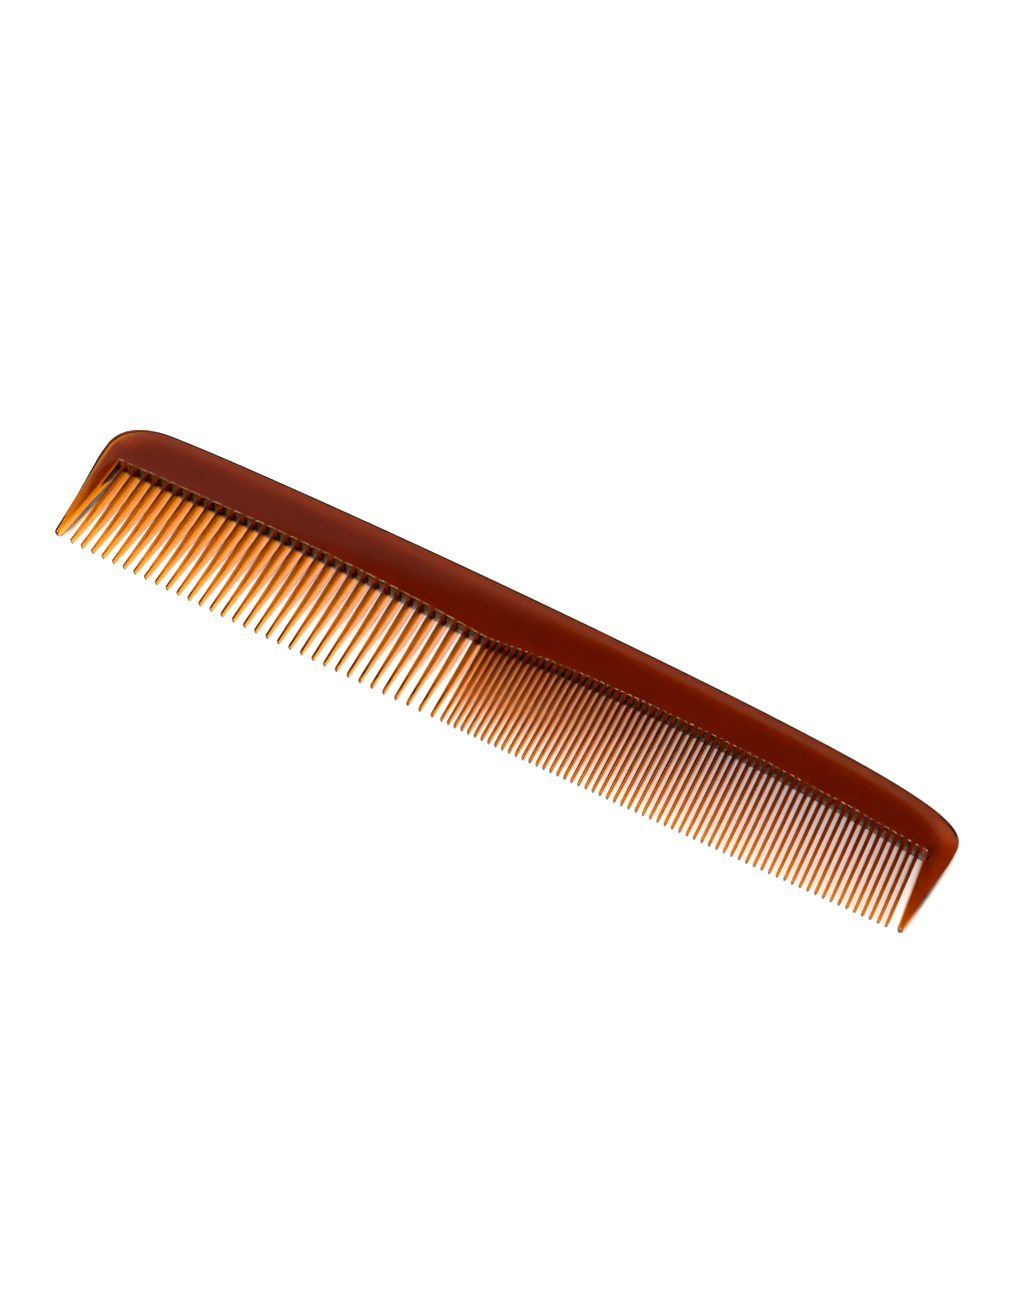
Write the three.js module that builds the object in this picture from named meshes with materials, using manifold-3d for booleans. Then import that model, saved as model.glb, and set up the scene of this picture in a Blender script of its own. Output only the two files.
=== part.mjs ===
// A one-piece moulded dressing comb, 177.5 mm long, with coarse teeth at one end and fine teeth at the other.
// Frame in millimetres: X along the length with the fine end at +X, Y from the tooth tips to the back,
// Z up. The comb lies flat, and the origin is the middle of its underside.
// The moulding is symmetric about a parting plane at half its thickness. Its named regions meet face
// to face, with no gap, because the real comb has no seam there.
import * as THREE from "three";
import Module from "manifold-3d";

const wasm = await Module();
wasm.setup();

// Overall sizes
const LENGTH = 177.5;
const WIDTH = 30.4;
const THICKNESS = 4.4;

// Outer edge: a long arched back, two rounded corners, and ends that lean in towards the tips
const CREST_FROM_COARSE_END = 27;
const BACK_RADIUS_COARSE = 500;
const BACK_RADIUS_FINE = 2000;
const COARSE_CORNER = { run: 11, depth: 7.2, sideReach: 0.7, backReach: 0.5, points: 10 };
const FINE_CORNER = { run: 58, depth: 10.2, sideReach: 0.5, backReach: 0.9, points: 24 };
const COARSE_END_LEAN = 3;
const FINE_END_LEAN = 3.2;
const SIDE_CURVE = 1.3;
const TIP_BOW = 0.87;

// Section through the back: a flat panel on each side, rounded off over a rim to a narrow edge
const RIM_WIDTH = 2.4;
const EDGE_LAND = 1.2;
const RIM_STEPS = 4;

// Tooth rows
const COARSE_ROW_LENGTH = 80;
const COARSE_PITCH = 2.5;
const FINE_PITCH = 1.358;
const COARSE_END_MARGIN = 7;
const FINE_END_MARGIN = 5.6;
const COARSE_TOOTH = { rootWidth: 1.2, tipWidth: 0.88, rootCrest: 0.62, tipCrest: 0.5 };
const FINE_TOOTH = { rootWidth: 0.84, tipWidth: 0.58, rootCrest: 0.66, tipCrest: 0.48 };
const TIP_THICKNESS = 1.3;
const TIP_ROUND = 0.5;
const CREST_SINK = 0.1;

// Where the gaps end: a straight stretch, then two arcs that meet in a point where the tooth size changes
const TOOTH_DEPTH = 19.9;
const COARSE_ARC = { run: 51, drop: 2.55 };
const FINE_CREST = { run: 23, rise: 1.3 };
const FINE_END_DROP = 3.7;
const WALL_DRAFT = 0.2;
const ROOT_STRIP = 1.2;

// End guards: the broad outermost teeth
const COARSE_GUARD = { tipWidth: 1.4, gap: 1.2, bend: 1.6 };
const FINE_GUARD = { tipWidth: 1.2, gap: 0.7, bend: 1 };
const GUARD_TIP_THICKNESS = 1.9;
const GUARD_TIP_RIM = 0.4;

const COARSE_PLASTIC = { color: 0xd06a10, roughness: 0.12, metalness: 0 };
const FINE_PLASTIC = { color: 0xb85512, roughness: 0.12, metalness: 0 };
const BACK_PLASTIC = { color: 0x6a1206, roughness: 0.1, metalness: 0 };
const GUARD_PLASTIC = { color: 0xa03a0a, roughness: 0.12, metalness: 0 };

// Places that follow from the sizes
const coarseEnd = -LENGTH / 2;
const fineEnd = LENGTH / 2;
const tipLine = -WIDTH / 2;
const crestX = coarseEnd + CREST_FROM_COARSE_END;
const midPlane = THICKNESS / 2;
const halfStep = (COARSE_PITCH + FINE_PITCH) / 2;

const coarseCount = Math.floor(COARSE_ROW_LENGTH / COARSE_PITCH) + 1;
const firstCoarse = coarseEnd + COARSE_END_MARGIN;
const lastCoarse = firstCoarse + (coarseCount - 1) * COARSE_PITCH;
const firstFine = lastCoarse + halfStep;
const fineCount = Math.floor((fineEnd - FINE_END_MARGIN - firstFine) / FINE_PITCH) + 1;
const lastFine = firstFine + (fineCount - 1) * FINE_PITCH;
const splitX = firstFine - FINE_PITCH / 2;

// The two ends, each with its outward direction
const coarse = {
  outward: -1,
  edge: coarseEnd,
  endLean: COARSE_END_LEAN,
  corner: COARSE_CORNER,
  guard: COARSE_GUARD,
  inner: firstCoarse - COARSE_TOOTH.rootWidth / 2 - COARSE_GUARD.gap,
};
const fine = {
  outward: 1,
  edge: fineEnd,
  endLean: FINE_END_LEAN,
  corner: FINE_CORNER,
  guard: FINE_GUARD,
  inner: lastFine + FINE_TOOTH.rootWidth / 2 + FINE_GUARD.gap,
};

// Stations along the gap ends: the coarse row's, then the fine row's with the point between the two arcs
const coarseStations = steps(coarse.inner, splitX, 16);
const fineStations = [splitX, ...steps(firstFine, fine.inner, 24)];

/** Height of the back edge at x, leaving out the corners. */
function backY(x) {
  const radius = x < crestX ? BACK_RADIUS_COARSE : BACK_RADIUS_FINE;
  return tipLine + WIDTH - (x - crestX) ** 2 / (2 * radius);
}

/** Height of the gap ends at x, on the parting plane. */
function rootY(x) {
  const flat = tipLine + TOOTH_DEPTH;
  if (x < firstFine) {
    const into = Math.max(0, x - (firstFine - COARSE_ARC.run)) / COARSE_ARC.run;
    return flat - COARSE_ARC.drop * into ** 2;
  }
  const crest = firstFine + FINE_CREST.run;
  const top = flat - COARSE_ARC.drop + FINE_CREST.rise;
  if (x < crest) return top - FINE_CREST.rise * ((crest - x) / FINE_CREST.run) ** 2;
  return top - FINE_END_DROP * ((x - crest) / (fine.inner - crest)) ** 2;
}

/** Height of the line where the root strips join the back. */
function joinY(x) {
  return rootY(x) + ROOT_STRIP;
}

/** Height of the tooth tips at x: a shallow bow, lowest half way along. */
function tipY(x) {
  return tipLine + TIP_BOW * (x / (LENGTH / 2)) ** 2;
}

/** Evenly spaced numbers from a to b, both included. */
function steps(a, b, count) {
  return Array.from({ length: count + 1 }, (_, i) => a + ((b - a) * i) / count);
}

/** Levels through the thickness, each with its height z and how far in from the edge the rim has come. */
function rimLevels(rimWidth) {
  const rise = (THICKNESS - EDGE_LAND) / 2;
  const upper = steps(0, Math.PI / 2, RIM_STEPS).map((turn) => ({
    z: midPlane + EDGE_LAND / 2 + rise * Math.sin(turn),
    inset: rimWidth * (1 - Math.cos(turn)),
  }));
  const lower = upper.map(({ z, inset }) => ({ z: THICKNESS - z, inset })).reverse();
  return [...lower, ...upper];
}

/** A closed solid from loops of equal length stacked one on another, with flat ends. */
function loft(loops) {
  const size = loops[0].length;
  const index = [];
  for (let start = 0; start + size < loops.length * size; start += size) {
    for (let i = 0; i < size; i++) {
      const a = start + i;
      const b = start + ((i + 1) % size);
      index.push(a, b, b + size, a, b + size, a + size);
    }
  }
  const last = (loops.length - 1) * size;
  const across = loops[0].every((p) => p[2] === loops[0][0][2]) ? [0, 1] : [0, 2];
  const outline = loops[0].map((p) => new THREE.Vector2(p[across[0]], p[across[1]]));
  for (const [a, b, c] of THREE.ShapeUtils.triangulateShape(outline, [])) {
    index.push(c, b, a, last + a, last + b, last + c);
  }
  return new wasm.Manifold(
    new wasm.Mesh({
      numProp: 3,
      vertProperties: new Float32Array(loops.flat(2)),
      triVerts: new Uint32Array(index),
    }),
  );
}

/** The outer side of one end at height y: its leaning side, or its corner where y is above the side. */
function sideX(end, y) {
  const up = (y - tipLine) / (cornerY(end) - tipLine);
  if (up <= 1) return end.edge - end.outward * end.endLean * (1 - up) ** SIDE_CURVE;
  const corner = cornerPoints(end);
  const next = corner.findIndex((point) => point[1] > y);
  const [below, above] = [corner[next - 1], corner[next]];
  return below[0] + ((above[0] - below[0]) * (y - below[1])) / (above[1] - below[1]);
}

/** Height at which the side of one end turns into its corner. */
function cornerY(end) {
  return backY(end.edge - end.outward * end.corner.run) - end.corner.depth;
}

/** Points round the corner of one end, from its side to the back. */
function cornerPoints(end) {
  const { run, depth, sideReach, backReach, points } = end.corner;
  const backX = end.edge - end.outward * run;
  const slope = (backY(backX + 1) - backY(backX - 1)) / 2;
  const reach = end.outward * backReach * run;
  const curve = new THREE.CubicBezierCurve(
    new THREE.Vector2(end.edge, cornerY(end)),
    new THREE.Vector2(end.edge, cornerY(end) + sideReach * depth),
    new THREE.Vector2(backX + reach, backY(backX) + slope * reach),
    new THREE.Vector2(backX, backY(backX)),
  );
  return curve.getPoints(points).map((p) => [p.x, p.y]);
}

/** The side and corner of one end, from its join with the guard to the back. */
function endEdge(end) {
  const join = joinY(end.inner);
  const straight = cornerY(end) > join ? steps(join, cornerY(end), 3).slice(0, -1) : [join];
  const side = straight.map((y) => [sideX(end, y), y]);
  return [...side, ...cornerPoints(end).filter((point) => point[1] > join)];
}

/** The outer edge of the back, anticlockwise from the fine end's join to the coarse end's. */
function outerEdge() {
  const arch = steps(fineEnd - FINE_CORNER.run, coarseEnd + COARSE_CORNER.run, 16);
  return [
    ...endEdge(fine),
    ...arch.slice(1, -1).map((x) => [x, backY(x)]),
    ...endEdge(coarse).reverse(),
  ];
}

/** Moves each point of an open line inwards by a distance, and the two end points level with X. */
function inset(line, distance) {
  return line.map(([x, y], i) => {
    if (i === 0) return [x - distance, y];
    if (i === line.length - 1) return [x + distance, y];
    const along = [line[i + 1][0] - line[i - 1][0], line[i + 1][1] - line[i - 1][1]];
    const size = Math.hypot(...along);
    return [x - (distance * along[1]) / size, y + (distance * along[0]) / size];
  });
}

/** The line along which the back meets everything below it, from the coarse end to the fine end. */
function joinLine() {
  return [...coarseStations, ...fineStations.slice(1)].map((x) => [x, joinY(x)]);
}

/** The back: a flat panel with a rounded rim, from one end to the other. */
function makeBack() {
  const edge = outerEdge();
  return loft(
    rimLevels(RIM_WIDTH).map((level) =>
      [...joinLine(), ...inset(edge, level.inset)].map(([x, y]) => [x, y, level.z]),
    ),
  );
}

/** One end guard, from its join with the back down to its rounded tip. */
function makeGuard(end) {
  const { tipWidth, bend } = end.guard;
  const top = joinY(end.inner);
  const root = rootY(end.inner);
  const round = tipWidth / 2;
  const tip = tipY(end.edge);
  const section = (y) => {
    const down = Math.max(0, (root - y) / (root - tip));
    const outer = sideX(end, y);
    const tipInner = sideX(end, tip) - end.outward * tipWidth;
    const inner = end.inner + (tipInner - end.inner) * down ** bend;
    const dip = Math.max(0, 1 - (y - tip) / round);
    const narrow = (1 - Math.sqrt(1 - dip ** 2)) * round;
    const rim = RIM_WIDTH + (GUARD_TIP_RIM - RIM_WIDTH) * down;
    const thin = 1 + (GUARD_TIP_THICKNESS / THICKNESS - 1) * down;
    const levels = rimLevels(rim);
    const height = (z) => midPlane + (z - midPlane) * thin;
    const draft = (z) => WALL_DRAFT * Math.min(1, 4 * down) * Math.abs(z / midPlane - 1);
    const outside = levels.map(({ z, inset: d }) => [
      outer - end.outward * (narrow + d * (1 - dip)),
      y,
      height(z),
    ]);
    const inside = levels.map(({ z }) => [inner + end.outward * (narrow + draft(z)), y, height(z)]);
    return end.outward > 0 ? [...outside, ...inside.reverse()] : [...inside, ...outside.reverse()];
  };
  const body = steps(tip + round, root, 6).reverse();
  const nose = steps(0.2, 0.97, 3).map((share) => tip + round * (1 - share));
  return loft([top, ...body, ...nose].map(section));
}

/** The strip that carries one row of teeth, between the gap ends and the back. */
function makeStrip(stations) {
  const loop = (z, draft) => [
    ...stations.map((x) => [x, rootY(x) + draft, z]),
    ...stations.map((x) => [x, joinY(x), z]).reverse(),
  ];
  return loft([loop(0, WALL_DRAFT), loop(midPlane, 0), loop(THICKNESS, WALL_DRAFT)]);
}

/** One tooth: six-sided, widest at the parting plane, thinning to a rounded tip. */
function makeTooth(x, tooth) {
  const start = rootY(x) + ROOT_STRIP / 2;
  const tip = tipY(x);
  const section = (y, pinch) => {
    const down = (start - y) / (start - tip);
    const blend = (a, b) => (a + (b - a) * down) * pinch;
    const wide = blend(tooth.rootWidth, tooth.tipWidth) / 2;
    const crest = blend(tooth.rootCrest, tooth.tipCrest) / 2;
    const high = blend(THICKNESS - 2 * CREST_SINK, TIP_THICKNESS) / 2;
    return [
      [x + wide, y, midPlane],
      [x + crest, y, midPlane + high],
      [x - crest, y, midPlane + high],
      [x - wide, y, midPlane],
      [x - crest, y, midPlane - high],
      [x + crest, y, midPlane - high],
    ];
  };
  const nose = [
    [tip + TIP_ROUND * 0.3, 0.8],
    [tip, 0.4],
  ];
  const sections = [section(start, 1), section(tip + TIP_ROUND, 1)];
  return loft([...sections, ...nose.map(([y, pinch]) => section(y, pinch))]);
}

/** A strip with its row of evenly spaced teeth. */
function makeRow(stations, first, pitch, count, tooth) {
  const axes = steps(first, first + (count - 1) * pitch, count - 1);
  return axes.reduce((row, x) => row.add(makeTooth(x, tooth)), makeStrip(stations));
}

/** A named mesh from a finished solid. */
function meshOf(name, made, finish) {
  const { vertProperties, triVerts, numProp } = made.getMesh();
  const geometry = new THREE.BufferGeometry();
  geometry.setAttribute("position", new THREE.BufferAttribute(vertProperties, numProp));
  geometry.setIndex(new THREE.BufferAttribute(triVerts, 1));
  geometry.computeVertexNormals();
  const mesh = new THREE.Mesh(geometry, new THREE.MeshStandardMaterial(finish));
  mesh.name = name;
  return mesh;
}

const coarseRow = makeRow(coarseStations, firstCoarse, COARSE_PITCH, coarseCount, COARSE_TOOTH);
const fineRow = makeRow(fineStations, firstFine, FINE_PITCH, fineCount, FINE_TOOTH);

const comb = new THREE.Group();
comb.add(
  meshOf("back", makeBack(), BACK_PLASTIC),
  meshOf("coarse_tooth_row", coarseRow, COARSE_PLASTIC),
  meshOf("fine_tooth_row", fineRow, FINE_PLASTIC),
  meshOf("coarse_end_guard", makeGuard(coarse), GUARD_PLASTIC),
  meshOf("fine_end_guard", makeGuard(fine), GUARD_PLASTIC),
);

export default comb;
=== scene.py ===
"""A one-piece moulded dressing comb in see-through amber plastic, lying on a white table.

The comb is one closed mesh: contours of its plan, stacked through its thickness and capped by a
flat panel on each side. Sizes are in millimetres until a mesh is made, and places come from the
frame.
"""

import logging
import math
from dataclasses import dataclass, field
from enum import Enum

import bpy
import numpy as np
from mathutils import Matrix, Vector


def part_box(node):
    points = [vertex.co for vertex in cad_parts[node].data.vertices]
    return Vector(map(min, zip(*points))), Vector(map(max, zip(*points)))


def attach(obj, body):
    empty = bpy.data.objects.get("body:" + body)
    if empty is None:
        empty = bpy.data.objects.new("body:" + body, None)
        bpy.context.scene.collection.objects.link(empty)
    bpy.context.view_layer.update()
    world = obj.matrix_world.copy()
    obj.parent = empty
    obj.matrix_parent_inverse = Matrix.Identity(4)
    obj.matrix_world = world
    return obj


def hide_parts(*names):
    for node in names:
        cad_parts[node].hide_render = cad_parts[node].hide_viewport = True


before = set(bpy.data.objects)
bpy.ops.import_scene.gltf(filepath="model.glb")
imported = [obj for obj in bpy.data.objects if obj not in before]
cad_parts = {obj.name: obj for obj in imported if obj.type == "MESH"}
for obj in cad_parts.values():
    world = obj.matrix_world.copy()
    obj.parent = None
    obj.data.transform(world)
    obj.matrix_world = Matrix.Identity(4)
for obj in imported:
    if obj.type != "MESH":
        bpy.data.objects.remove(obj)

LOG = logging.getLogger("comb")
MM = 0.001
Points = np.ndarray
Place = tuple[float, float, float]
Colour = tuple[float, float, float, float]


def box_mm(node: str) -> tuple[Points, Points]:
    """A node's box.

    Args:
        node: the node's name in the frame.

    Returns:
        Its lowest and highest corners, in millimetres.
    """
    low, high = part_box(node)
    return np.array(low) / MM, np.array(high) / MM


class Side(Enum):
    """The two ends of the comb, each with its outward direction along X."""

    COARSE = -1
    FINE = 1


@dataclass(frozen=True)
class Level:
    """One height through the thickness, as a share of the local half thickness.

    Attributes:
        share: -1 at the underside, 0 at the parting plane, 1 at the top.
    """

    share: float

    @property
    def away(self) -> float:
        """Distance from the parting plane, from 0 to 1."""
        return abs(self.share)

    @property
    def rounded(self) -> float:
        """How far in a round edge has come: 0 on the parting plane, 1 at a face."""
        return 1 - math.sqrt(max(0.0, 1 - self.away**2))


@dataclass
class Section:
    """The comb's section: how every edge moves in as it rises from the parting plane.

    Attributes:
        thickness: overall thickness.
        back_rim: width of the rim along the back.
        draft: how far a gap's walls move out of the gap, from parting plane to face.
        edge_round: radius of the gap ends' top and bottom edges.
        rim_heights: heights at which the rim bends, as shares of the half thickness.
        rim_insets: how far in the rim has come at each of them, as shares of its width.
        shares: heights above the parting plane at which there is a contour.
    """

    thickness: float
    back_rim: float = 2.4
    draft: float = 0.2
    edge_round: float = 0.2
    rim_heights: tuple[float, ...] = (0.0, 0.62, 0.66, 0.71, 0.76, 1.0)
    rim_insets: tuple[float, ...] = (0.0, 0.03, 0.06, 0.14, 0.6, 1.0)
    shares: tuple[float, ...] = (
        0.3, 0.5, 0.62, 0.66, 0.71, 0.76, 0.86, 0.91, 0.945, 0.965, 0.985, 0.996, 1.0,
    )

    @property
    def half(self) -> float:
        """Half the thickness."""
        return self.thickness / 2

    def levels(self) -> list[Level]:
        """All contour heights.

        Returns:
            The levels, from the underside up.
        """
        below = [Level(-share) for share in reversed(self.shares)]
        above = [Level(share) for share in self.shares]
        return [*below, Level(0.0), *above]

    def rim(self, level: Level) -> float:
        """How far in the rim has come at a level, as a share of the rim's width."""
        return float(np.interp(level.away, self.rim_heights, self.rim_insets))

    def wall(self, level: Level) -> float:
        """How far a gap's end wall has moved back from its place on the parting plane.

        Args:
            level: height through the thickness.

        Returns:
            The distance, which the draft and the rounded edge give together.
        """
        over = max(0.0, level.away * self.half - (self.half - self.edge_round))
        rounded = self.edge_round - math.sqrt(max(0.0, self.edge_round**2 - over**2))
        return self.draft * level.away + rounded


@dataclass
class Plan:
    """The comb's outline, seen from above, on the parting plane.

    Attributes:
        low, high: the corners of the comb's box.
        coarse_pitch, fine_pitch: distance from tooth to tooth in each row.
        coarse_teeth, fine_teeth: number of teeth in each row.
        coarse_margin: from the coarse end to the axis of the first tooth.
        coarse_root, fine_root: tooth widths at the root, on the parting plane.
        coarse_gap, fine_gap: width of the gap beside each end guard.
        crest_from_end: from the coarse end to the highest point of the back.
        coarse_radius, fine_radius: radius of the back on the two sides of that point.
        tooth_depth: from the bottom of the box to the gap ends of the coarse row.
        coarse_arc: length and drop of the gap ends' curve down to the first fine tooth.
        fine_crest: length and rise of their curve from there.
        fine_end_drop: how far they fall again towards the fine end.
        tip_bow: how much higher the tips are at the ends than half way along.
        end_lean: how far each end leans in at the tips.
        side_power: how quickly that lean grows towards the tips.
        corner: each corner's run along the back, its depth, and its pull towards side and back.
    """

    low: Points
    high: Points
    coarse_pitch: float = 2.5
    fine_pitch: float = 1.358
    coarse_teeth: int = 33
    fine_teeth: int = 62
    coarse_margin: float = 7.0
    coarse_root: float = 1.2
    fine_root: float = 0.84
    coarse_gap: float = 1.2
    fine_gap: float = 0.7
    crest_from_end: float = 27.0
    coarse_radius: float = 500.0
    fine_radius: float = 2000.0
    tooth_depth: float = 19.9
    coarse_arc: tuple[float, float] = (51.0, 2.55)
    fine_crest: tuple[float, float] = (23.0, 1.3)
    fine_end_drop: float = 3.7
    tip_bow: float = 0.87
    end_lean: dict[Side, float] = field(
        default_factory=lambda: {Side.COARSE: 3.0, Side.FINE: 3.2}
    )
    side_power: float = 1.3
    corner: dict[Side, tuple[float, float, float, float]] = field(
        default_factory=lambda: {
            Side.COARSE: (11.0, 7.2, 0.7, 0.5),
            Side.FINE: (58.0, 10.2, 0.5, 0.9),
        }
    )

    def __post_init__(self) -> None:
        """Works out the places that follow from the sizes."""
        self.first_coarse = self.low[0] + self.coarse_margin
        self.last_coarse = self.first_coarse + (self.coarse_teeth - 1) * self.coarse_pitch
        self.first_fine = self.last_coarse + (self.coarse_pitch + self.fine_pitch) / 2
        self.last_fine = self.first_fine + (self.fine_teeth - 1) * self.fine_pitch
        self.inner = {
            Side.COARSE: self.first_coarse - self.coarse_root / 2 - self.coarse_gap,
            Side.FINE: self.last_fine + self.fine_root / 2 + self.fine_gap,
        }

    def end_x(self, side: Side) -> float:
        """X of one end's outermost point."""
        return self.low[0] if side is Side.COARSE else self.high[0]

    def back_y(self, x: float) -> float:
        """Height of the back edge, leaving out the corners.

        Args:
            x: place along the comb.

        Returns:
            The edge's Y there.
        """
        crest = self.low[0] + self.crest_from_end
        radius = self.coarse_radius if x < crest else self.fine_radius
        return self.high[1] - (x - crest) ** 2 / (2 * radius)

    def root_y(self, x: float) -> float:
        """Height of the gap ends on the parting plane.

        Args:
            x: place along the comb.

        Returns:
            Their Y there.
        """
        flat = self.low[1] + self.tooth_depth
        run, drop = self.coarse_arc
        if x < self.first_fine:
            return flat - drop * (max(0.0, x - self.first_fine + run) / run) ** 2
        run, rise = self.fine_crest
        crest = self.first_fine + run
        top = flat - drop + rise
        if x < crest:
            return top - rise * ((crest - x) / run) ** 2
        reach = self.inner[Side.FINE] - crest
        return top - self.fine_end_drop * ((x - crest) / reach) ** 2

    def tip_y(self, x: float) -> float:
        """Height of the tooth tips at x: a shallow bow, lowest half way along."""
        middle = (self.low[0] + self.high[0]) / 2
        return self.low[1] + self.tip_bow * ((x - middle) / (self.high[0] - middle)) ** 2

    def corner_y(self, side: Side) -> float:
        """Height at which the side of one end turns into its corner."""
        run, depth, _, _ = self.corner[side]
        return self.back_y(self.end_x(side) - side.value * run) - depth

    def side_x(self, side: Side, y: float) -> float:
        """Outer side of one end, below its corner.

        Args:
            side: which end.
            y: height above the tips.

        Returns:
            The side's X there.
        """
        up = (y - self.low[1]) / (self.corner_y(side) - self.low[1])
        lean = self.end_lean[side] * max(0.0, 1 - up) ** self.side_power
        return self.end_x(side) - side.value * lean

    def corner_points(self, side: Side, count: int) -> Points:
        """Points round one corner.

        Args:
            side: which end.
            count: number of points.

        Returns:
            Points from the side of the end to the back, both ends included.
        """
        run, depth, side_reach, back_reach = self.corner[side]
        end, back_x = self.end_x(side), self.end_x(side) - side.value * run
        slope = (self.back_y(back_x + 1) - self.back_y(back_x - 1)) / 2
        reach = side.value * back_reach * run
        knots = np.array(
            [
                (end, self.corner_y(side)),
                (end, self.corner_y(side) + side_reach * depth),
                (back_x + reach, self.back_y(back_x) + slope * reach),
                (back_x, self.back_y(back_x)),
            ]
        )
        t = np.linspace(0, 1, count)[:, None]
        return (
            (1 - t) ** 3 * knots[0]
            + 3 * (1 - t) ** 2 * t * knots[1]
            + 3 * (1 - t) * t**2 * knots[2]
            + t**3 * knots[3]
        )


@dataclass
class Contour:
    """One closed outline, gathered piece by piece, at one level.

    Attributes:
        points: the outline's points so far, anticlockwise seen from above.
    """

    points: list[tuple[float, float, float]] = field(default_factory=list)

    def add(self, x: float, y: float, z: float) -> None:
        """Adds one point."""
        self.points.append((x, y, z))


@dataclass
class ToothForm:
    """The shape of one kind of tooth: six-sided with softened edges, thinning to a rounded tip.

    Attributes:
        root, tip: widths on the parting plane.
        root_crest, tip_crest: widths at the top and bottom faces.
        fillet: radius in plan where the tooth meets the gap ends.
        tip_thickness: thickness just before the tip rounds off.
        tip_length: length of the rounded tip.
        tip_crown: how much shorter the tip is at its faces than on the parting plane.
        soft: radius of the softened edges.
        stations: places down the tooth at which it has points, from root to tip.
        tip_turns: number of steps round the tip.
    """

    root: float
    tip: float
    root_crest: float
    tip_crest: float
    fillet: float
    tip_thickness: float = 1.3
    tip_length: float = 0.5
    tip_crown: float = 0.06
    soft: float = 0.13
    stations: tuple[float, ...] = (
        0, 0.04, 0.12, 0.24, 0.38, 0.52, 0.66, 0.8, 0.9, 0.96, 1,
    )
    tip_turns: int = 8

    def half_width(self, down: float, level: Level, half: float) -> float:
        """Half the tooth's width.

        Args:
            down: 0 at the root, 1 at the tip.
            level: height through the thickness.
            half: half the comb's thickness.

        Returns:
            Half the width there, with the crest's edges softened.
        """
        wide = self.root + (self.tip - self.root) * down
        crest = self.root_crest + (self.tip_crest - self.root_crest) * down
        high = self.half_height(down, half)
        climb = max(0.0, level.away * high - (high - self.soft)) / self.soft
        soft = self.soft * (1 - math.sqrt(max(0.0, 1 - climb * climb)))
        return (wide + (crest - wide) * level.away) / 2 - soft

    def half_height(self, down: float, half: float) -> float:
        """Half the tooth's thickness, from half the comb's at the root."""
        return half + (self.tip_thickness / 2 - half) * down


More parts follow.
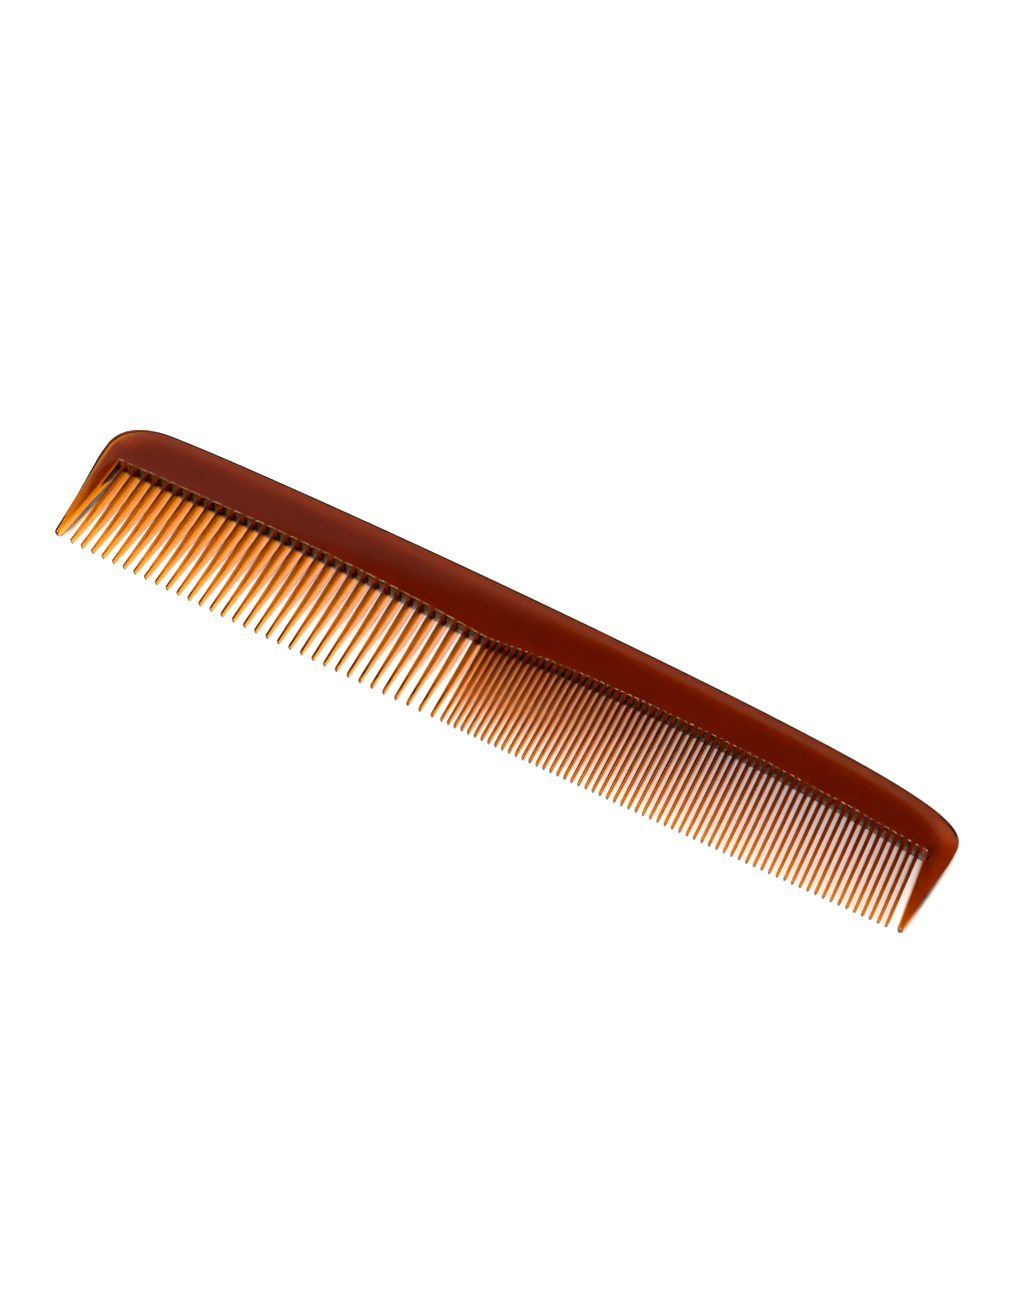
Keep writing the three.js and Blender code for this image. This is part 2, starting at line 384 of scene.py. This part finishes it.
@dataclass
class Moulding:
    """The whole comb as one closed mesh.

    Attributes:
        plan: the outline.
        section: the section.
        coarse, fine: the two kinds of tooth.
        end_rim: width of the rim at each end.
        rim_reach: distance from an end at which half of that extra width is left.
        guard_tip: width of each guard's tip.
        guard_bend: how late each guard's inner side turns towards its tip.
        guard_tip_thickness: thickness of the guards just before their tips round off.
        guard_tip_rim: width of the guards' rim there.
        guard_rim_power: how quickly the rim narrows down the guard.
        rim_change: share of a guard's length over which its rim turns from bevelled to round.
        guard_crown: how much a guard's tip shortens at its faces, as a share of its roundness.
        guard_stations: places down a guard at which it has points, from root to tip.
        guard_tip_turns: number of steps round a guard's tip.
        side_points, corner_count, arch_points: points along each side, corner and the back.
        wall_points, fillet_turns: points along a gap's end, and steps round its corners.
        crease: angle in degrees past which an edge is left sharp.
    """

    plan: Plan
    section: Section
    coarse: ToothForm
    fine: ToothForm
    end_rim: dict[Side, float] = field(
        default_factory=lambda: {Side.COARSE: 3.6, Side.FINE: 4.0}
    )
    rim_reach: float = 4.0
    guard_tip: dict[Side, float] = field(
        default_factory=lambda: {Side.COARSE: 1.4, Side.FINE: 1.2}
    )
    guard_bend: dict[Side, float] = field(
        default_factory=lambda: {Side.COARSE: 1.6, Side.FINE: 1.0}
    )
    guard_tip_thickness: float = 1.9
    guard_tip_rim: float = 0.45
    guard_rim_power: float = 0.8
    rim_change: float = 0.5
    guard_crown: float = 0.6
    guard_stations: tuple[float, ...] = (
        0, 0.06, 0.14, 0.24, 0.35, 0.46, 0.57, 0.68, 0.79, 0.89, 1,
    )
    guard_tip_turns: int = 12
    side_points: int = 6
    corner_count: dict[Side, int] = field(
        default_factory=lambda: {Side.COARSE: 26, Side.FINE: 70}
    )
    arch_points: int = 60
    wall_points: int = 4
    fillet_turns: int = 4
    crease: float = 30.0

    def teeth(self) -> list[tuple[float, ToothForm]]:
        """The axis and form of every tooth.

        Returns:
            A pair for each tooth, from the coarse end.
        """
        p = self.plan
        coarse = [p.first_coarse + i * p.coarse_pitch for i in range(p.coarse_teeth)]
        fine = [p.first_fine + i * p.fine_pitch for i in range(p.fine_teeth)]
        return [(x, self.coarse) for x in coarse] + [(x, self.fine) for x in fine]

    def rim_width(self, x: float) -> float:
        """Width of the rim along the outer edge: wider round both ends.

        Args:
            x: place along the comb.

        Returns:
            The rim's width there.
        """
        along_back = self.section.back_rim
        widest = along_back
        for side in Side:
            from_end = abs(self.plan.end_x(side) - x)
            share = 1 / (1 + (from_end / self.rim_reach) ** 3)
            widest = max(widest, along_back + (self.end_rim[side] - along_back) * share)
        return widest

    def outer_edge(self) -> tuple[Points, Points]:
        """The outer edge above the guards, from the fine end's root round to the coarse end's.

        Returns:
            The points on the parting plane and, for each, the way in along its normal.
        """
        p = self.plan
        runs = []
        for side in (Side.FINE, Side.COARSE):
            start = self.guard_root(side)
            ys = np.linspace(start, p.corner_y(side), self.side_points, endpoint=False)
            lower = np.array([(p.side_x(side, y), y) for y in ys])
            run = np.vstack([lower, p.corner_points(side, self.corner_count[side])])
            runs.append(run if side is Side.FINE else run[::-1])
        xs = np.linspace(runs[0][-1][0], runs[1][0][0], self.arch_points)[1:-1]
        arch = np.array([(x, p.back_y(x)) for x in xs])
        edge = np.vstack([runs[0], arch, runs[1]])
        along = np.gradient(edge, axis=0)
        along /= np.linalg.norm(along, axis=1)[:, None]
        return edge, np.stack([-along[:, 1], along[:, 0]], axis=1)

    def guard_root(self, side: Side) -> float:
        """Height at which a guard begins: just below the fillet of the gap beside it."""
        form = self.coarse if side is Side.COARSE else self.fine
        return self.plan.root_y(self.plan.inner[side]) - form.fillet - self.section.draft

    def guard(self, side: Side, level: Level) -> tuple[Points, Points, Points]:
        """One end guard at one level.

        Args:
            side: which end.
            level: height through the thickness.

        Returns:
            Its outer points from the root down, the points round its tip, and its inner points
            from the root down.
        """
        p, out = self.plan, side.value
        root, tip = self.guard_root(side), p.tip_y(p.end_x(side))
        round_length = self.guard_tip[side] / 2
        last = tip + round_length
        tip_inner = p.side_x(side, last) - out * self.guard_tip[side]
        outer, inner = [], []
        for down in self.guard_stations:
            y = root + (last - root) * down
            narrowing = (self.guard_tip_rim - self.end_rim[side]) * down**self.guard_rim_power
            rim = self.end_rim[side] + narrowing
            half = self.section.half + (self.guard_tip_thickness / 2 - self.section.half) * down
            bevelled = self.section.rim(level)
            change = min(1.0, down / self.rim_change)
            inset = rim * (bevelled + (level.rounded - bevelled) * change)
            draft = self.section.wall(level)
            x_in = p.inner[side] + (tip_inner - p.inner[side]) * down ** self.guard_bend[side]
            z = self.section.half + level.share * half
            outer.append((p.side_x(side, y) - out * inset, y, z))
            inner.append((x_in + out * draft, y, z))
        outer_end, inner_end = np.array(outer[-1]), np.array(inner[-1])
        crown = round_length * level.rounded * self.guard_crown
        middle, reach = (outer_end + inner_end) / 2, (inner_end - outer_end) / 2
        nose = []
        for turn in np.linspace(0, math.pi, self.guard_tip_turns + 1)[1:-1]:
            point = middle - reach * math.cos(turn)
            point[1] -= (round_length - crown) * math.sin(turn)
            nose.append(point)
        return np.array(outer), np.array(nose), np.array(inner)

    def corner_fillet(self, x: float, y: float, toward: int, radius: float) -> Points:
        """Points round the plan corner of a gap.

        Args:
            x, y: the sharp corner between the tooth's flank and the gap's end.
            toward: 1 where the gap lies on the +X side of the flank, -1 where on the other.
            radius: the fillet's radius.

        Returns:
            Points from the flank to the gap's end.
        """
        return np.array(
            [
                (x + toward * radius * (1 - math.cos(turn)), y - radius * (1 - math.sin(turn)))
                for turn in np.linspace(0, math.pi / 2, self.fillet_turns + 1)
            ]
        )

    def contour(self, level: Level) -> Contour:
        """The whole outline at one level.

        Args:
            level: height through the thickness.

        Returns:
            The outline, which has the same number of points at every level.
        """
        plan, section = self.plan, self.section
        line = Contour()
        top = section.half * (1 + level.share)
        edge, inward = self.outer_edge()
        for (x, y), (nx, ny) in zip(edge, inward):
            inset = self.rim_width(x) * section.rim(level)
            line.add(x + nx * inset, y + ny * inset, top)
        outer, nose, inner = self.guard(Side.COARSE, level)
        for point in [*outer[1:], *nose, *inner[::-1]]:
            line.add(*point)
        flank, form = inner[0][0], self.coarse
        for axis, tooth in self.teeth():
            radius = min(form.fillet, tooth.fillet)
            near = axis - tooth.half_width(0, level, section.half)
            self.gap_end(line, level, flank, near, form.fillet, tooth.fillet, top)
            self.tooth(line, level, axis, tooth)
            flank, form = axis + tooth.half_width(0, level, section.half), tooth
        outer, nose, inner = self.guard(Side.FINE, level)
        self.gap_end(line, level, flank, inner[0][0], form.fillet, form.fillet, top)
        for point in [*inner, *nose[::-1], *outer[:0:-1]]:
            line.add(*point)
        return line

    def gap_end(
        self,
        line: Contour,
        level: Level,
        left: float,
        right: float,
        left_radius: float,
        right_radius: float,
        z: float,
    ) -> None:
        """Adds the end of one gap, between the flanks on its two sides.

        Args:
            line: the outline to add to.
            level: height through the thickness.
            left, right: X of the two flanks.
            left_radius, right_radius: radius of the fillet at each flank.
            z: height of the outline.
        """
        back = self.section.wall(level)
        left_y = self.plan.root_y(left) + back
        right_y = self.plan.root_y(right) + back
        for x, y in self.corner_fillet(left, left_y, 1, left_radius)[1:]:
            line.add(x, y, z)
        for x in np.linspace(left + left_radius, right - right_radius, self.wall_points)[1:-1]:
            line.add(x, self.plan.root_y(x) + back, z)
        for x, y in self.corner_fillet(right, right_y, -1, right_radius)[:0:-1]:
            line.add(x, y, z)

    def tooth(self, line: Contour, level: Level, axis: float, form: ToothForm) -> None:
        """Adds one tooth, down its left flank, round its tip and up its right flank.

        Args:
            line: the outline to add to.
            level: height through the thickness.
            axis: X of the tooth's middle.
            form: the kind of tooth.
        """
        start = self.plan.root_y(axis) + self.section.wall(level) - form.fillet
        tip = self.plan.tip_y(axis) + form.tip_crown * level.rounded
        end = tip + form.tip_length
        left, right = [], []
        for down in form.stations:
            y = start + (end - start) * down
            wide = form.half_width(down, level, self.section.half)
            z = self.section.half + level.share * form.half_height(down, self.section.half)
            left.append((axis - wide, y, z))
            right.append((axis + wide, y, z))
        wide = form.half_width(1, level, self.section.half)
        nose = []
        for turn in np.linspace(0, math.pi, form.tip_turns + 1)[1:-1]:
            drop = form.tip_length * math.sin(turn)
            nose.append((axis - wide * math.cos(turn), end - drop, left[-1][2]))
        for point in [*left, *nose, *reversed(right)]:
            line.add(*point)

    def caps(self) -> list[list[int]]:
        """The faces that close the stack's top.

        Returns:
            Numbers of points in one contour, for the guards, the teeth and last the panel.
        """
        faces, panel = [], []
        edge_count = len(self.outer_edge()[0])
        rows, turns = len(self.guard_stations), self.guard_tip_turns - 1
        panel += range(edge_count)
        base = edge_count - 1
        outer = [base + j for j in range(rows)]
        nose = [base + rows + j for j in range(turns)]
        inner = [base + rows + turns + (rows - 1 - j) for j in range(rows)]
        faces += self.ladder(outer, inner) + [[outer[-1], *nose, inner[-1]]]
        at = inner[0]
        gap = 2 * self.fillet_turns + self.wall_points - 2
        for _, form in self.teeth():
            panel += range(at, at + gap + 1)
            at += gap + 1
            count, tip = len(form.stations), form.tip_turns - 1
            left = [at + j for j in range(count)]
            around = [at + count + j for j in range(tip)]
            right = [at + count + tip + (count - 1 - j) for j in range(count)]
            faces += self.ladder(left, right) + [[left[-1], *around, right[-1]]]
            panel.append(left[0])
            at = right[0]
        panel += range(at, at + gap + 1)
        at += gap + 1
        inner = [at + j for j in range(rows)]
        nose = [at + rows + j for j in range(turns)]
        outer = [0] + [at + rows + turns + (rows - 1 - j) for j in range(1, rows)]
        faces += self.ladder(inner, outer) + [[inner[-1], *nose, outer[-1]]]
        panel.append(inner[0])
        return faces + [panel]

    def ladder(self, left: list[int], right: list[int]) -> list[list[int]]:
        """Four-sided faces between two runs of points that go down side by side."""
        pairs = zip(left, left[1:], right[1:], right)
        return [list(four) for four in pairs]

    def build(self, name: str) -> bpy.types.Object:
        """Makes the mesh.

        Args:
            name: the object's name.

        Returns:
            The finished object, in metres.
        """
        levels = self.section.levels()
        stack = np.array([self.contour(level).points for level in levels])
        size = stack.shape[1]
        faces = []
        for k in range(len(levels) - 1):
            low, high = k * size, (k + 1) * size
            for i in range(size):
                j = (i + 1) % size
                faces.append((low + i, low + j, high + j, high + i))
        top = (len(levels) - 1) * size
        for face in self.caps():
            faces.append([top + i for i in face])
            faces.append(list(reversed(face)))
        mesh = bpy.data.meshes.new(name)
        mesh.from_pydata((stack.reshape(-1, 3) * MM).tolist(), [], faces)
        mesh.validate()
        mesh.update()
        mesh.shade_smooth()
        mesh.set_sharp_from_angle(angle=math.radians(self.crease))
        # Only the two flat panels have this many corners, and their outlines stay crisp.
        rims = {
            key
            for face in mesh.polygons
            if face.loop_total > self.arch_points
            for key in face.edge_keys
        }
        for edge in mesh.edges:
            if edge.key in rims:
                edge.use_edge_sharp = True
        comb = bpy.data.objects.new(name, mesh)
        bpy.context.scene.collection.objects.link(comb)
        LOG.info("%s: %d points, %d faces", name, len(mesh.vertices), len(mesh.polygons))
        return comb


class Join(Enum):
    """The ways in which two values are joined."""

    SUM = "ADD"
    LARGER = "MAXIMUM"
    SCALED = "MULTIPLY_ADD"


@dataclass(frozen=True)
class AmberPlastic:
    """Polished, see-through amber plastic, coloured through its depth.

    Attributes:
        ior: index of refraction.
        colour, density: what the depth lets through, and how strongly it holds the rest back.
        tint, gloss_tint: colour of light let in at the surface, and of light thrown back.
        roughness, smear_roughness: roughness where clean, and where handled.
        scratch_roughness: roughness that a scratch or speck adds.
        flow_scale, flow_detail: the faint waviness that moulding leaves.
        smear_scale, smear_detail, smear_share: the smears, and where they start and are full.
        scratch_scale, scratch_detail, scratch_share: the same for the hair scratches.
        scratch_stretch, scratch_turn: their length against width, and their slant in radians.
        speck_scale, speck_detail, speck_share: the same for the specks.
        ejector_place: middle of the ejector's mark.
        ejector_ring: its outer and inner radius.
        mark_depth: depth of all marks against the waviness.
        bump_strength, bump_height: how strongly and how deeply the relief shows.
    """

    ior: float = 1.49
    colour: Colour = (0.7917, 0.68, 0.0, 1.0)
    density: float = 1200.0
    tint: Colour = (1.0, 0.4, 0.06, 1.0)
    roughness: float = 0.02
    gloss_tint: Colour = (1.0, 0.92, 0.65, 1.0)
    smear_roughness: float = 0.07
    scratch_roughness: float = 0.2
    flow_scale: float = 120.0
    flow_detail: float = 2.0
    smear_scale: float = 70.0
    smear_detail: float = 4.0
    smear_share: tuple[float, float] = (0.35, 0.75)
    scratch_scale: float = 260.0
    scratch_detail: float = 2.0
    scratch_stretch: Place = (0.12, 5.0, 1.0)
    scratch_turn: float = 0.5
    scratch_share: tuple[float, float] = (0.74, 0.78)
    speck_scale: float = 1100.0
    speck_detail: float = 1.0
    speck_share: tuple[float, float] = (0.8, 0.84)
    ejector_place: Place = (-35.2, 8.3, 4.4)
    ejector_ring: tuple[float, float] = (1.3, 1.15)
    mark_depth: float = 0.5
    bump_strength: float = 0.25
    bump_height: float = 0.03

    def make(self) -> bpy.types.Material:
        """Builds the material.

        Returns:
            The material.
        """
        material = bpy.data.materials.new("amber_plastic")
        material.use_nodes = True
        nodes, links = material.node_tree.nodes, material.node_tree.links
        shader = nodes["Principled BSDF"]
        shader.inputs["Base Color"].default_value = self.tint
        shader.inputs["Transmission Weight"].default_value = 1.0
        shader.inputs["IOR"].default_value = self.ior
        shader.inputs["Specular Tint"].default_value = self.gloss_tint
        shader.inputs["Roughness"].default_value = self.roughness
        depth = nodes.new("ShaderNodeVolumeAbsorption")
        depth.inputs["Color"].default_value = self.colour
        depth.inputs["Density"].default_value = self.density
        links.new(depth.outputs[0], nodes["Material Output"].inputs["Volume"])
        self.wear(material.node_tree, shader)
        return material

    def wear(self, tree: bpy.types.NodeTree, shader: bpy.types.Node) -> None:
        """Adds what moulding and use leave on the polish.

        Args:
            tree: the material's nodes.
            shader: the plastic's shader.
        """
        nodes, links = tree.nodes, tree.links
        place = nodes.new("ShaderNodeTexCoord")
        swirl = self.noise(tree, place, self.flow_scale, self.flow_detail)
        smear = self.noise(tree, place, self.smear_scale, self.smear_detail)
        hair = self.noise(
            tree,
            place,
            self.scratch_scale,
            self.scratch_detail,
            self.scratch_stretch,
            self.scratch_turn,
        )
        scratch = self.between(tree, hair, *self.scratch_share)
        dust = self.noise(tree, place, self.speck_scale, self.speck_detail)
        speck = self.between(tree, dust, *self.speck_share)
        away = nodes.new("ShaderNodeVectorMath")
        away.operation = "DISTANCE"
        away.inputs[1].default_value = [v * MM for v in self.ejector_place]
        links.new(place.outputs["Object"], away.inputs[0])
        inside = self.between(tree, away.outputs["Value"], *[r * MM for r in self.ejector_ring])
        smeared = self.between(
            tree, smear, *self.smear_share, self.roughness, self.smear_roughness
        )
        worn = self.blend(tree, scratch, speck, Join.LARGER)
        rough = self.blend(tree, smeared, worn, Join.SCALED, self.scratch_roughness)
        links.new(rough, shader.inputs["Roughness"])
        marks = self.blend(tree, self.blend(tree, scratch, speck, Join.SUM), inside, Join.SUM)
        height = self.blend(tree, swirl, marks, Join.SCALED, -self.mark_depth)
        bump = nodes.new("ShaderNodeBump")
        bump.inputs["Strength"].default_value = self.bump_strength
        bump.inputs["Distance"].default_value = self.bump_height * MM
        links.new(height, bump.inputs["Height"])
        links.new(bump.outputs["Normal"], shader.inputs["Normal"])

    def noise(
        self,
        tree: bpy.types.NodeTree,
        place: bpy.types.Node,
        scale: float,
        detail: float,
        stretch: Place = (1.0, 1.0, 1.0),
        turn: float = 0.0,
    ) -> bpy.types.NodeSocket:
        """Noise in the comb's own space.

        Args:
            tree: the material's nodes.
            place: gives the place on the comb.
            scale: number of clouds in a metre.
            detail: how much finer noise is laid over them.
            stretch: scale along each direction.
            turn: turn about Z, in radians.

        Returns:
            A value from 0 to 1.
        """
        mapping = tree.nodes.new("ShaderNodeMapping")
        mapping.inputs["Scale"].default_value = stretch
        mapping.inputs["Rotation"].default_value[2] = turn
        cloud = tree.nodes.new("ShaderNodeTexNoise")
        cloud.inputs["Scale"].default_value = scale
        cloud.inputs["Detail"].default_value = detail
        tree.links.new(place.outputs["Object"], mapping.inputs["Vector"])
        tree.links.new(mapping.outputs["Vector"], cloud.inputs["Vector"])
        return cloud.outputs["Fac"]

    def between(
        self,
        tree: bpy.types.NodeTree,
        value: bpy.types.NodeSocket,
        start: float,
        end: float,
        low: float = 0.0,
        high: float = 1.0,
    ) -> bpy.types.NodeSocket:
        """Spreads a value over a new range.

        Args:
            tree: the material's nodes.
            value: the value.
            start, end: where it begins and ends to count.
            low, high: what it becomes there.

        Returns:
            The new value.
        """
        spread = tree.nodes.new("ShaderNodeMapRange")
        limits = {"From Min": start, "From Max": end, "To Min": low, "To Max": high}
        for name, number in limits.items():
            spread.inputs[name].default_value = number
        tree.links.new(value, spread.inputs["Value"])
        return spread.outputs["Result"]

    def blend(
        self,
        tree: bpy.types.NodeTree,
        first: bpy.types.NodeSocket,
        second: bpy.types.NodeSocket,
        how: Join,
        share: float = 1.0,
    ) -> bpy.types.NodeSocket:
        """Joins two values.

        Args:
            tree: the material's nodes.
            first, second: the values.
            how: the way; SCALED adds the second, times the share, to the first.
            share: what the second is multiplied by when it is scaled.

        Returns:
            The joined value.
        """
        maths = tree.nodes.new("ShaderNodeMath")
        maths.operation = how.value
        if how is Join.SCALED:
            tree.links.new(second, maths.inputs[0])
            maths.inputs[1].default_value = share
            tree.links.new(first, maths.inputs[2])
        else:
            tree.links.new(first, maths.inputs[0])
            tree.links.new(second, maths.inputs[1])
        return maths.outputs[0]


@dataclass(frozen=True)
class WhiteTable:
    """Smooth matt white sheet.

    Attributes:
        colour: the sheet's white.
        roughness, shine: roughness, and how much it mirrors.
    """

    colour: Colour = (0.93, 0.93, 0.93, 1.0)
    roughness: float = 0.9
    shine: float = 0.1

    def make(self) -> bpy.types.Material:
        """Builds the material.

        Returns:
            The material.
        """
        material = bpy.data.materials.new("white_table")
        material.use_nodes = True
        shader = material.node_tree.nodes["Principled BSDF"]
        shader.inputs["Base Color"].default_value = self.colour
        shader.inputs["Roughness"].default_value = self.roughness
        shader.inputs["Specular IOR Level"].default_value = self.shine
        return material


@dataclass
class Studio:
    """Table, light, surroundings and camera.

    Attributes:
        table_reach, table_drop: half the table's width, and its depth under the comb, in metres.
        key_power, key_size, key_place: the softbox's watts, and its size and place in metres.
        wall_toward, wall_blur: direction of the dim wall's middle, and the softness of its edge.
        wall_light, backdrop_light: brightness of the wall, and of what the camera sees behind.
        lens, sensor, nearest: the lens and film width, and the nearest seen distance in metres.
        camera_right, camera_down, camera_ahead: directions of the picture's sides and depth.
        camera_place: the camera's place, in millimetres.
        bounces, clear_bounces, gloss_bounces, matt_bounces: how often light is followed in all,
            through the plastic, off gloss and off matt surfaces.
    """

    table_reach: float = 6.0
    table_drop: float = 0.00003
    key_power: float = 18.9
    key_size: tuple[float, float] = (1.0, 0.5)
    key_place: Place = (-0.25, -0.2, 0.7)
    wall_toward: Place = (-0.0825, 0.8732, -0.4793)
    wall_blur: float = 0.0007
    wall_light: float = 0.3
    backdrop_light: float = 1.0
    lens: float = 40.06
    sensor: float = 36.0
    nearest: float = 0.01
    camera_right: Place = (0.88072, 0.47258, -0.03178)
    camera_down: Place = (0.39836, -0.77536, -0.49004)
    camera_ahead: Place = (-0.25622, 0.41892, -0.87112)
    camera_place: Place = (71.22, -107.67, 231.43)
    bounces: int = 24
    clear_bounces: int = 20
    gloss_bounces: int = 12
    matt_bounces: int = 6

    def table(self) -> bpy.types.Object:
        """Lays the table's top just under the comb.

        Returns:
            The table's top.
        """
        mesh = bpy.data.meshes.new("table_top")
        r = self.table_reach
        corners = [(-r, -r, 0), (r, -r, 0), (r, r, 0), (-r, r, 0)]
        mesh.from_pydata(corners, [], [(0, 1, 2, 3)])
        top = bpy.data.objects.new("table_top", mesh)
        top.location.z = -self.table_drop
        mesh.materials.append(WhiteTable().make())
        bpy.context.scene.collection.objects.link(top)
        return top

    def lights(self) -> None:
        """Hangs the overhead softbox."""
        lamp = bpy.data.lights.new("overhead_softbox", "AREA")
        lamp.shape = "RECTANGLE"
        lamp.size, lamp.size_y = self.key_size
        lamp.energy = self.key_power
        box = bpy.data.objects.new("overhead_softbox", lamp)
        box.location = self.key_place
        box.visible_camera = False
        bpy.context.scene.collection.objects.link(box)

    def surroundings(self) -> None:
        """Makes a dark room with one dim wall, and a white backdrop that only the camera sees."""
        world = bpy.data.worlds.new("studio")
        bpy.context.scene.world = world
        world.use_nodes = True
        nodes, links = world.node_tree.nodes, world.node_tree.links
        back = nodes["Background"]
        place = nodes.new("ShaderNodeTexCoord")
        side = nodes.new("ShaderNodeVectorMath")
        side.operation = "DOT_PRODUCT"
        side.inputs[1].default_value = self.wall_toward
        edge = nodes.new("ShaderNodeMapRange")
        edge.inputs["From Min"].default_value = -self.wall_blur
        edge.inputs["From Max"].default_value = self.wall_blur
        edge.inputs["To Min"].default_value = 0.0
        edge.inputs["To Max"].default_value = self.wall_light
        links.new(place.outputs["Generated"], side.inputs[0])
        links.new(side.outputs["Value"], edge.inputs["Value"])
        path = nodes.new("ShaderNodeLightPath")
        seen = nodes.new("ShaderNodeMix")
        seen.data_type = "FLOAT"
        links.new(path.outputs["Is Camera Ray"], seen.inputs[0])
        links.new(edge.outputs["Result"], seen.inputs[2])
        seen.inputs[3].default_value = self.backdrop_light
        links.new(seen.outputs[0], back.inputs["Strength"])
        back.inputs["Color"].default_value = (1, 1, 1, 1)

    def camera(self) -> None:
        """Sets the camera above the comb's front, turned a little to its right."""
        data = bpy.data.cameras.new("camera")
        data.lens = self.lens
        data.sensor_width = self.sensor
        data.clip_start = self.nearest
        eye = bpy.data.objects.new("camera", data)
        right, down = Vector(self.camera_right), Vector(self.camera_down)
        ahead = Vector(self.camera_ahead)
        turn = Matrix((right, -down, -ahead)).transposed()
        place = Vector(self.camera_place) * MM
        eye.matrix_world = Matrix.Translation(place) @ turn.to_4x4()
        bpy.context.scene.collection.objects.link(eye)
        bpy.context.scene.camera = eye

    def film(self) -> None:
        """Sets how light is traced through the plastic and shown."""
        scene = bpy.context.scene
        scene.view_settings.view_transform = "Standard"
        scene.view_settings.look = "None"
        scene.cycles.max_bounces = self.bounces
        scene.cycles.transmission_bounces = self.clear_bounces
        scene.cycles.glossy_bounces = self.gloss_bounces
        scene.cycles.diffuse_bounces = self.matt_bounces
        scene.cycles.sample_clamp_indirect = 0


def main() -> None:
    """Builds the comb and its setting."""
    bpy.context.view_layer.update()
    low, high = box_mm("back")
    for node in ("coarse_tooth_row", "fine_tooth_row", "coarse_end_guard", "fine_end_guard"):
        node_low, node_high = box_mm(node)
        low, high = np.minimum(low, node_low), np.maximum(high, node_high)
    plan = Plan(low, high)
    section = Section(thickness=high[2] - low[2])
    coarse = ToothForm(
        root=plan.coarse_root,
        tip=0.88,
        root_crest=0.62,
        tip_crest=0.5,
        fillet=0.22,
        tip_length=0.42,
    )
    fine = ToothForm(
        root=plan.fine_root,
        tip=0.58,
        root_crest=0.66,
        tip_crest=0.48,
        fillet=0.12,
        tip_length=0.32,
    )
    comb = Moulding(plan, section, coarse, fine).build("dressing_comb")
    comb.data.materials.append(AmberPlastic().make())
    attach(comb, "root")
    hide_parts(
        "back", "coarse_tooth_row", "fine_tooth_row", "coarse_end_guard", "fine_end_guard"
    )
    studio = Studio()
    LOG.info("%s: laid under the comb", studio.table().name)
    studio.lights()
    LOG.info("overhead_softbox: %.1f W", studio.key_power)
    studio.surroundings()
    LOG.info("surroundings: dark room with one dim wall")
    studio.camera()
    LOG.info("camera: %.2f mm lens", studio.lens)
    studio.film()


if __name__ == "__main__":
    logging.basicConfig(level=logging.INFO)
    main()
